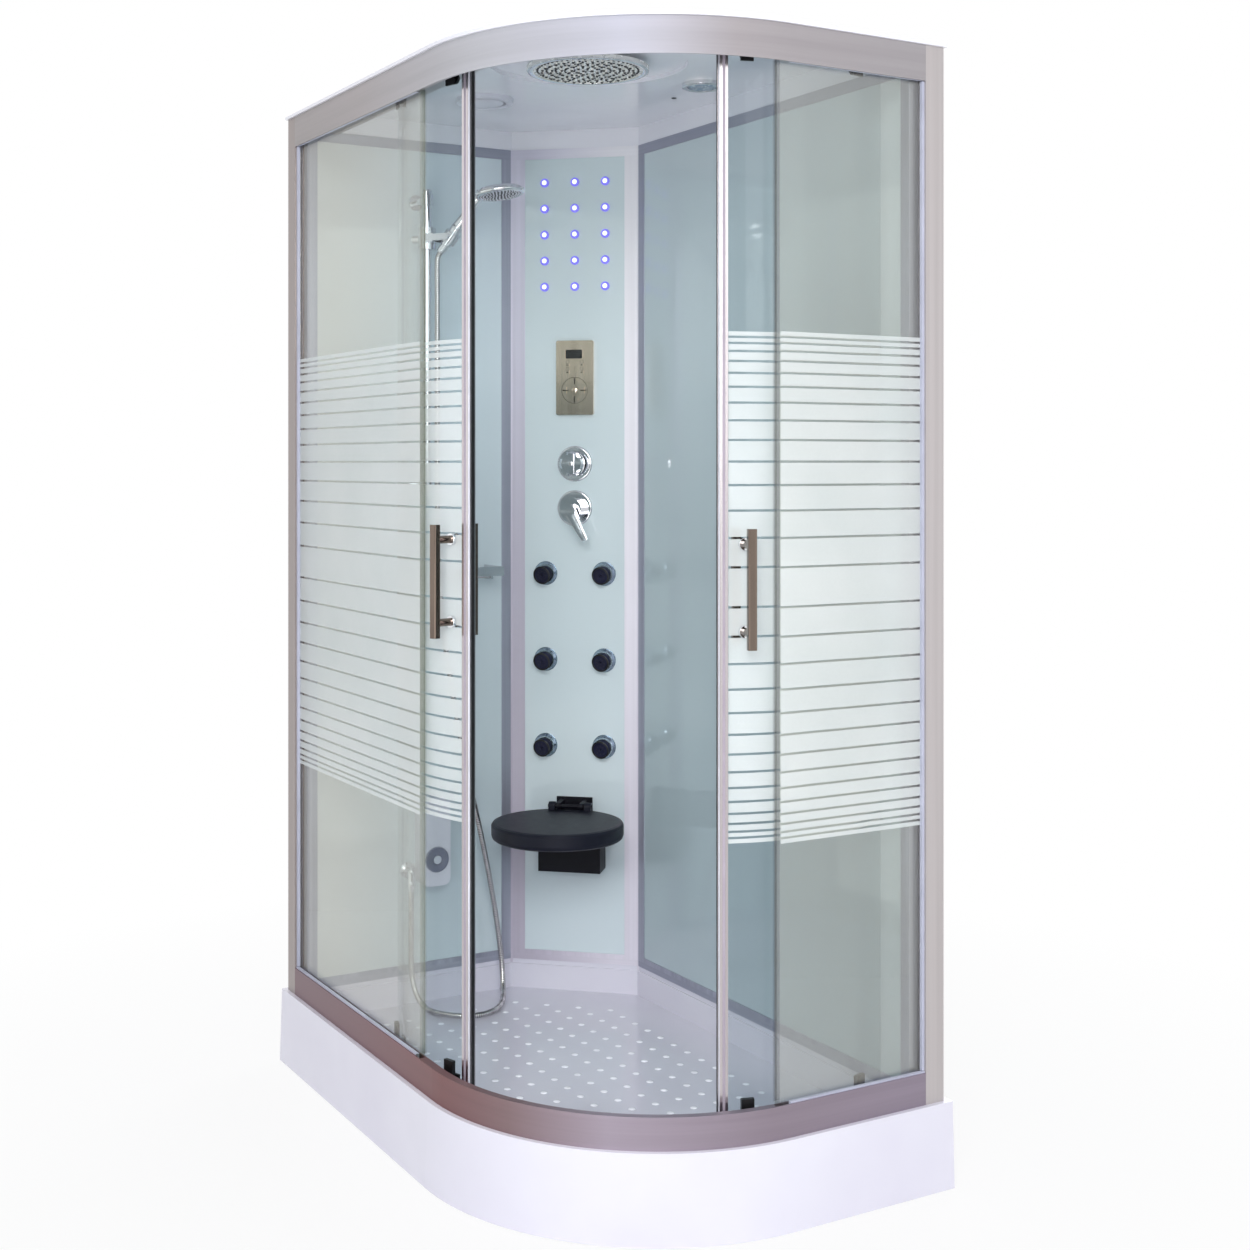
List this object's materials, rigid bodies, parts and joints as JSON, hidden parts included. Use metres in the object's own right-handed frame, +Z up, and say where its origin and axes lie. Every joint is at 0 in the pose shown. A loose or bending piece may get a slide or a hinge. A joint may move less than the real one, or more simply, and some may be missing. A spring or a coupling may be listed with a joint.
{
  "type": "shower cabin",
  "caption": "Corner shower cabin: deep tray, curved sliding glass doors, shower column with jets, mixer and panel, fold-up seat, hand shower on a slide bar, and roof with rain head and fan.",
  "frame": {"origin": "on the floor under the middle of the tray", "axes": "+Z up, +X along the long side away from the room corner, -Y towards the open front; the room corner is at -X +Y"},
  "size_m": [1.2, 0.8, 2.064],
  "materials": {
    "white_acrylic": "glossy white with a faint lilac tint",
    "galvanised_steel": "galvanised",
    "grey_plastic": "matte grey",
    "rail_aluminium": "satin anodised",
    "frame_aluminium": "satin anodised, silver grey",
    "clear_glass": "clear toughened glass with a frosted stripe band",
    "coated_glass": "back-coated glass, pale grey blue",
    "seal_vinyl": "soft translucent vinyl",
    "chrome": "mirror chrome",
    "chromed_plastic": "chrome plated plastic",
    "hose_steel": "chromed spiral steel",
    "navy_plastic": "dark navy, satin",
    "panel_gold": "mirror-like champagne",
    "violet_light": "translucent, lit from behind",
    "lamp_lens": "frosted lens",
    "brass_pipe": "plain brass",
    "black_plastic": "matte black",
    "wheel_nylon": "white nylon"
  },
  "bodies": {
    "cabin": {"tray": "white_acrylic", "undertray_frame": "galvanised_steel", "waste_trap": "grey_plastic", "drain_cover": "chrome", "bottom_rail": "rail_aluminium", "top_rail": "rail_aluminium", "left_post": "rail_aluminium", "right_post": "rail_aluminium", "glazing_seals": "seal_vinyl", "left_fixed_glass": "clear_glass", "right_fixed_glass": "clear_glass", "side_wall_glass": "coated_glass", "back_wall_glass": "coated_glass", "column_glass": "coated_glass", "side_wall_frame": "frame_aluminium", "back_wall_frame": "frame_aluminium", "column_frame": "frame_aluminium", "roof": "white_acrylic", "rain_head": "chrome", "fan_housing": "grey_plastic", "fan_cover": "white_acrylic", "light_bezel": "chrome", "light_lens": "lamp_lens", "control_panel": "panel_gold", "valve_bodies": "chrome", "jet_bodies": "chromed_plastic", "micro_jets": "violet_light", "plumbing": "brass_pipe", "slide_bar": "chrome", "hose": "hose_steel", "hose_outlet": "chrome", "shelf": "frame_aluminium", "foot_unit": "white_acrylic", "seat_bracket": "navy_plastic"},
    "left_door": {"left_door_glass": "clear_glass", "left_door_profile": "rail_aluminium", "left_door_handle": "chrome", "left_door_hangers": "black_plastic"},
    "left_lead_wheel": {"left_wheel_lead": "wheel_nylon"},
    "left_trail_wheel": {"left_wheel_trail": "wheel_nylon"},
    "right_door": {"right_door_glass": "clear_glass", "right_door_profile": "rail_aluminium", "right_door_handle": "chrome", "right_door_hangers": "black_plastic"},
    "right_lead_wheel": {"right_wheel_lead": "wheel_nylon"},
    "right_trail_wheel": {"right_wheel_trail": "wheel_nylon"},
    "seat": {"seat_board": "navy_plastic"},
    "diverter": {"diverter_knob": "chromed_plastic"},
    "mixer_temperature": {"mixer_cap": "chromed_plastic"},
    "mixer_flow": {"mixer_lever": "chromed_plastic"},
    "slider": {"slider": "chromed_plastic"},
    "hand_shower": {"handset_holder": "chromed_plastic", "handset": "chromed_plastic"},
    "fan": {"fan_rotor": "black_plastic"},
    "nozzle_1": {"jet_nozzle_1": "navy_plastic"},
    "nozzle_2": {"jet_nozzle_2": "navy_plastic"},
    "nozzle_3": {"jet_nozzle_3": "navy_plastic"},
    "nozzle_4": {"jet_nozzle_4": "navy_plastic"},
    "nozzle_5": {"jet_nozzle_5": "navy_plastic"},
    "nozzle_6": {"jet_nozzle_6": "navy_plastic"}
  },
  "joints": [
    {"name": "left_door_roll", "type": "hinge", "parent": "cabin", "child": "left_door", "pos_m": [0.0273, 0.46565, 1.9693], "axis": [0, 0, 1], "range_deg": [0, 16.6]},
    {"name": "right_door_roll", "type": "hinge", "parent": "cabin", "child": "right_door", "pos_m": [0.01359, 0.12005, 1.9693], "axis": [0, 0, -1], "range_deg": [0, 25.63]},
    {"name": "left_lead_wheel_spin", "type": "hinge", "parent": "left_door", "child": "left_lead_wheel", "pos_m": [0.12613, -0.32, 1.9693], "axis": [0.2808, -0.9598, 0], "range_deg": [-1212, 1212]},
    {"name": "left_trail_wheel_spin", "type": "hinge", "parent": "left_door", "child": "left_trail_wheel", "pos_m": [-0.08729, -0.32, 1.9693], "axis": [-0.2808, -0.9598, 0], "range_deg": [-1212, 1212]},
    {"name": "right_lead_wheel_spin", "type": "hinge", "parent": "right_door", "child": "right_lead_wheel", "pos_m": [0.51638, 0.00771, 1.9693], "axis": [0.9549, -0.297, 0], "range_deg": [-1212, 1212]},
    {"name": "right_trail_wheel_spin", "type": "hinge", "parent": "right_door", "child": "right_trail_wheel", "pos_m": [0.52, 0.22111, 1.9693], "axis": [0.9644, 0.2645, 0], "range_deg": [-1212, 1212]},
    {"name": "seat_fold", "type": "hinge", "parent": "cabin", "child": "seat", "pos_m": [-0.3956, 0.18969, 0.513], "axis": [-0.6678, -0.7443, 0], "range_deg": [0, 90]},
    {"name": "nozzle_1_tilt", "type": "hinge", "parent": "cabin", "child": "nozzle_1", "pos_m": [-0.46945, 0.16728, 1.0185], "axis": [0.6678, 0.7443, 0], "range_deg": [-15, 15]},
    {"name": "nozzle_2_tilt", "type": "hinge", "parent": "cabin", "child": "nozzle_2", "pos_m": [-0.3813, 0.26553, 1.0185], "axis": [0.6678, 0.7443, 0], "range_deg": [-15, 15]},
    {"name": "nozzle_3_tilt", "type": "hinge", "parent": "cabin", "child": "nozzle_3", "pos_m": [-0.46945, 0.16728, 0.828], "axis": [0.6678, 0.7443, 0], "range_deg": [-15, 15]},
    {"name": "nozzle_4_tilt", "type": "hinge", "parent": "cabin", "child": "nozzle_4", "pos_m": [-0.3813, 0.26553, 0.828], "axis": [0.6678, 0.7443, 0], "range_deg": [-15, 15]},
    {"name": "nozzle_5_tilt", "type": "hinge", "parent": "cabin", "child": "nozzle_5", "pos_m": [-0.46945, 0.16728, 0.6375], "axis": [0.6678, 0.7443, 0], "range_deg": [-15, 15]},
    {"name": "nozzle_6_tilt", "type": "hinge", "parent": "cabin", "child": "nozzle_6", "pos_m": [-0.3813, 0.26553, 0.6375], "axis": [0.6678, 0.7443, 0], "range_deg": [-15, 15]},
    {"name": "diverter_turn", "type": "hinge", "parent": "cabin", "child": "diverter", "pos_m": [-0.41793, 0.20972, 1.261], "axis": [0.7443, -0.6678, 0], "range_deg": [-90, 90]},
    {"name": "mixer_temperature_turn", "type": "hinge", "parent": "cabin", "child": "mixer_temperature", "pos_m": [-0.409, 0.20171, 1.163], "axis": [0.7443, -0.6678, 0], "range_deg": [-73, 17]},
    {"name": "mixer_flow_tilt", "type": "hinge", "parent": "mixer_temperature", "child": "mixer_flow", "pos_m": [-0.39315, 0.18749, 1.163], "axis": [-0.5896, -0.6572, -0.4695], "range_deg": [0, 25]},
    {"name": "slider_travel", "type": "slide", "parent": "cabin", "child": "slider", "axis": [0, 0, 1], "range_m": [-0.47, 0.04], "deforming": ["hose"]},
    {"name": "hand_shower_tilt", "type": "hinge", "parent": "slider", "child": "hand_shower", "pos_m": [-0.41992, -0.08707, 1.74], "axis": [-0.5592, 0.829, 0], "range_deg": [-15, 15], "deforming": ["hose"]},
    {"name": "fan_spin", "type": "hinge", "parent": "cabin", "child": "fan", "pos_m": [-0.245, -0.093, 2.016], "axis": [0, 0, 1], "continuous": true}
  ],
  "couplings": [
    {"joint": "left_lead_wheel_spin", "follows": "left_door_roll", "ratio": -72.839},
    {"joint": "left_trail_wheel_spin", "follows": "left_door_roll", "ratio": -72.839},
    {"joint": "right_lead_wheel_spin", "follows": "right_door_roll", "ratio": 47.176},
    {"joint": "right_trail_wheel_spin", "follows": "right_door_roll", "ratio": 47.176}
  ]
}
